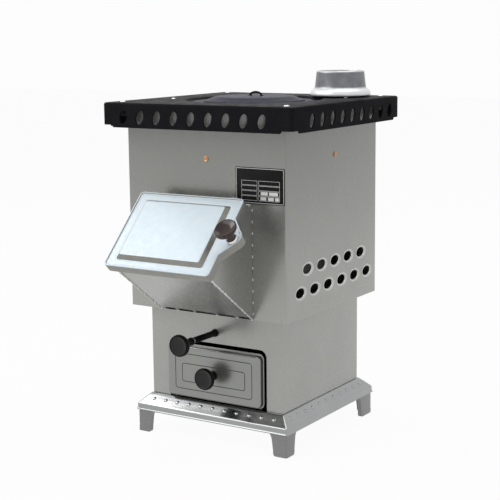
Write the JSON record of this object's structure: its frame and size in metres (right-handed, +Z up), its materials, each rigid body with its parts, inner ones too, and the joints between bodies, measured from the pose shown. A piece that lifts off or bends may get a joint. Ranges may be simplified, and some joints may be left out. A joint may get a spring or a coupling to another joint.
{
  "type": "wood gasifier stove",
  "caption": "Free-standing sheet steel wood gasifier stove with a sloping lidded feed hopper, pierced hob plate, round hob lid, flue collar, grate shaker and ash drawer.",
  "frame": {"origin": "on the floor, under the middle of the stove's bounding box", "axes": "+Z up; -Y is the front, where the hopper, the shaker and the drawer are; +X is the stove's right, seen from the front"},
  "size_m": [0.45, 0.5874, 0.7541],
  "materials": {
    "galvanised": "satin galvanised sheet",
    "tray_sheet": "satin galvanised sheet",
    "enamel": "satin black enamel",
    "hob_iron": "blackened, satin",
    "flue_metal": "sand cast, satin",
    "lid_casting": "cast, silver painted",
    "black_bakelite": "gloss",
    "brown_bakelite": "gloss",
    "bright_steel": "bright plated",
    "brass": "plain",
    "inner_steel": "dull mill finish",
    "grate_iron": "dull",
    "fire_brick": "matt fired clay",
    "fibre_seal": "matt woven fibre"
  },
  "bodies": {
    "stove_body": {"air_ring": "grate_iron", "base_tray": "tray_sheet", "brass_screw_back": "brass", "brass_screw_front": "brass", "brass_screw_left": "brass", "brass_screw_right": "brass", "drawer_runner_left": "inner_steel", "drawer_runner_right": "inner_steel", "feed_chute": "inner_steel", "fire_box": "inner_steel", "fire_brick_back": "fire_brick", "fire_brick_left": "fire_brick", "fire_brick_right": "fire_brick", "flue_collar": "flue_metal", "flue_seat_ring": "hob_iron", "grate_rail_left": "inner_steel", "grate_rail_right": "inner_steel", "hearth_plate": "grate_iron", "hinge_lug_left": "galvanised", "hinge_lug_right": "galvanised", "hinge_pin": "bright_steel", "hob_screw_left": "bright_steel", "hob_screw_right": "bright_steel", "hopper_body": "galvanised", "leg_back_left": "tray_sheet", "leg_back_right": "tray_sheet", "leg_front_left": "tray_sheet", "leg_front_right": "tray_sheet", "lower_casing": "galvanised", "nameplate": "enamel", "plate_bracket_back_left": "inner_steel", "plate_bracket_back_right": "inner_steel", "plate_bracket_front_left": "inner_steel", "plate_bracket_front_right": "inner_steel", "plate_screw_back_left": "bright_steel", "plate_screw_back_right": "bright_steel", "plate_screw_front_left": "bright_steel", "plate_screw_front_right": "bright_steel", "rod_bush": "bright_steel", "smoke_pan": "inner_steel", "top_plate": "enamel", "upper_casing": "galvanised"},
    "hopper_lid": {"hopper_lid": "lid_casting", "lid_seal": "fibre_seal", "lid_knob": "brown_bakelite", "lid_knob_ferrule": "bright_steel", "lid_knob_screw": "bright_steel"},
    "ash_drawer": {"drawer_front": "galvanised", "drawer_box": "inner_steel", "drawer_knob": "black_bakelite", "drawer_knob_screw": "bright_steel"},
    "grate_shaker": {"shaker_rod": "inner_steel", "shaker_sleeve": "black_bakelite", "shaker_collar": "bright_steel", "shaker_knob": "black_bakelite", "sliding_grate": "grate_iron"},
    "hob_ring": {"hob_ring": "hob_iron"},
    "hob_lid": {"hob_lid": "hob_iron", "hob_lid_handle": "hob_iron"}
  },
  "joints": [
    {"name": "hopper_lid_hinge", "type": "hinge", "parent": "stove_body", "child": "hopper_lid", "pos_m": [0, -0.14228, 0.50773], "axis": [-1, 0, 0], "range_deg": [0, 95]},
    {"name": "ash_drawer_slide", "type": "slide", "parent": "stove_body", "child": "ash_drawer", "axis": [0, -1, 0], "range_m": [0, 0.23]},
    {"name": "grate_shaker_slide", "type": "slide", "parent": "stove_body", "child": "grate_shaker", "axis": [0, -1, 0], "range_m": [0, 0.045]},
    {"name": "hob_ring_lift", "type": "slide", "parent": "stove_body", "child": "hob_ring", "axis": [0, 0, 1], "range_m": [0, 0.08]},
    {"name": "hob_lid_lift", "type": "slide", "parent": "hob_ring", "child": "hob_lid", "axis": [0, 0, 1], "range_m": [0, 0.08]}
  ]
}
